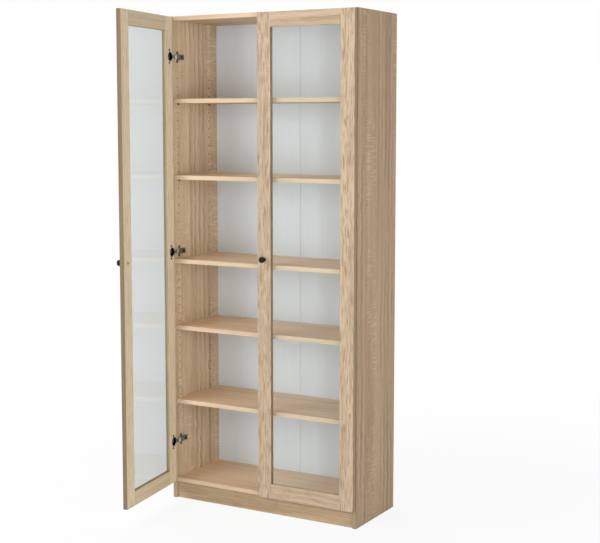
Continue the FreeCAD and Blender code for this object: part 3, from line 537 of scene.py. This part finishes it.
for side, inward in (("left", 1), ("right", -1)):
    dress(oak_paper(f"oak_melamine_side_{side}", PANEL_PRINT, SIDE_OUTER, SIDE_INNER_PAINTED_LIGHT, SIDE_EDGE, grain="Z",
                    faces="X", inside=(inward, 0, 0), panel=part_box(f"side_panel_{side}")),
          f"side_panel_{side}")
dress(oak_paper("oak_melamine_shelf", SHELF_PRINT, SHELF_UNDER, SHELF_TOP_PAINTED_LIGHT, SHELF_EDGE, grain="X", faces="Z",
                inside=(0, 0, 1)),
      "top_panel", "middle_shelf", "bottom_panel", "adjustable_shelf_1", "adjustable_shelf_2",
      "adjustable_shelf_3", "adjustable_shelf_4")
dress(oak_paper("oak_melamine_plinth", SHELF_PRINT, PLINTH, PLINTH, SIDE_EDGE, grain="X", faces="Y",
                inside=(0, 1, 0)), "plinth")

hinges = {joint["child"]: joint for joint in frame["joints"]}
# The right door is closed at rest, so its inner face is where a closed door's lies.
door_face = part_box("right_door_hinge_stile")[1].y
for side in SIDES:
    hinge = hinges[f"{side}_door"]
    # The turn about +Z that closes the door from where it stands at rest.
    turn = math.radians(hinge["range_deg"][0]) * hinge["axis"][2]
    edges = DOOR_EDGES_PAINTED_LIGHT_AND_SHADE[side]
    for stile in ("hinge_stile", "meeting_stile"):
        dress(oak_paper(f"oak_foil_{stile}_{side}", FRAME_PRINT, DOOR_OUTER, DOOR_INNER_PAINTED_LIGHT, edges[stile],
                        grain="Z", faces="Y", inside=(0, 1, 0), turn=turn), f"{side}_door_{stile}")
    dress(oak_paper(f"oak_foil_rail_{side}", SHELF_PRINT, DOOR_OUTER, RAIL_INNER_PAINTED_LIGHT, edges["rail"],
                    grain="X", faces="Y", inside=(0, 1, 0), turn=turn),
          f"{side}_door_top_rail", f"{side}_door_bottom_rail")
    dress(hinge_cup_steel(f"pressed_nickel_cup_{side}", hinge, turn, door_face), f"{side}_door_hinge_cups")

dress(lacquered_hardboard(), "back_leaf_left", "back_leaf_right")
dress(float_glass(), "left_door_glass_pane", "right_door_glass_pane")
# Gummed paper gives a dull warm white with faint fibres.
dress(fitting_finish("gummed_paper_tape", "e6e4dd", "d6d4cc", spot=2, stretch=4, roughness=0.7, relief=0.1),
      "back_tape")
# Nickel plating on pressed steel gives a slightly warm mirror; its colour is clouded with painted dark
# and bright reflections.
dress(fitting_finish("nickel_plated_pressed_steel", "b8b6ae", "4c4a46", spot=8, roughness=0.26, relief=0.05,
                     metallic=1.0), "shelf_supports",
      *[f"{name}_{side}" for side in SIDES for name in ("hinge_plates", "plate_screws")],
      *[f"{side}_door_hinge_pins" for side in SIDES])
# The same plating, darker on the arms as painted reflection, with a painted highlight on their nose
# where the bend in front of the plate would catch the light.
dress(fitting_finish("nickel_plated_bent_steel", "9c9a93", "4c4a46", spot=8, roughness=0.26, relief=0.05,
                     metallic=1.0, painted_highlight=(-6, 6, "ebe9e2")),
      *[f"hinge_arms_{side}" for side in SIDES])
# Turned steel screws in a dull blue-black with hardly a highlight: painted shade and dark reflection.
dress(fitting_finish("turned_steel_with_painted_shade", "35343a", "232226", spot=1, roughness=0.5, relief=0.05,
                     metallic=1.0),
      *[f"arm_screws_{side}" for side in SIDES], *[f"{side}_door_cup_screws" for side in SIDES])
# Zinc plating gives a cool grey metal with a soft spangle.
dress(fitting_finish("zinc_plated_steel", "c2c4c6", "a4a7ab", spot=3, roughness=0.4, relief=0.05,
                     metallic=1.0),
      "back_nails", "cam_bolts", "cam_locks", "wall_brackets", "bracket_screws")
# Yellow-passivated zinc gives the screw heads a dull gold that is close to the oak around them.
dress(fitting_finish("yellow_passivated_zinc", "d9c39a", "bfa87f", spot=2, roughness=0.45, relief=0.05,
                     metallic=1.0),
      *[f"{side}_door_knob_screw" for side in SIDES])
# Powder coat baked on the turned knob gives a satin black with a fine orange-peel relief.
dress(fitting_finish("black_powder_coat", "1a1a1b", "0f1011", spot=0.8, roughness=0.45, relief=0.1,
                     ior=1.3),
      *[f"{side}_door_knob" for side in SIDES])
# Fluted beech gives a pale pinkish brown with short dark flecks.
dress(fitting_finish("fluted_beech", "d8b68c", "c19a6d", spot=1, stretch=12, roughness=0.6, relief=0.1),
      "case_dowels", *[f"{side}_door_frame_dowels" for side in SIDES])
# Clear moulded silicone gives a slightly glossy dot that shows the oak under it.
dress(fitting_finish("moulded_silicone", "d3c0a3", "c5b193", spot=2, roughness=0.3, relief=0.05),
      *[f"{side}_door_bumper_pads" for side in SIDES])

bpy.context.scene.view_settings.view_transform = "Standard"
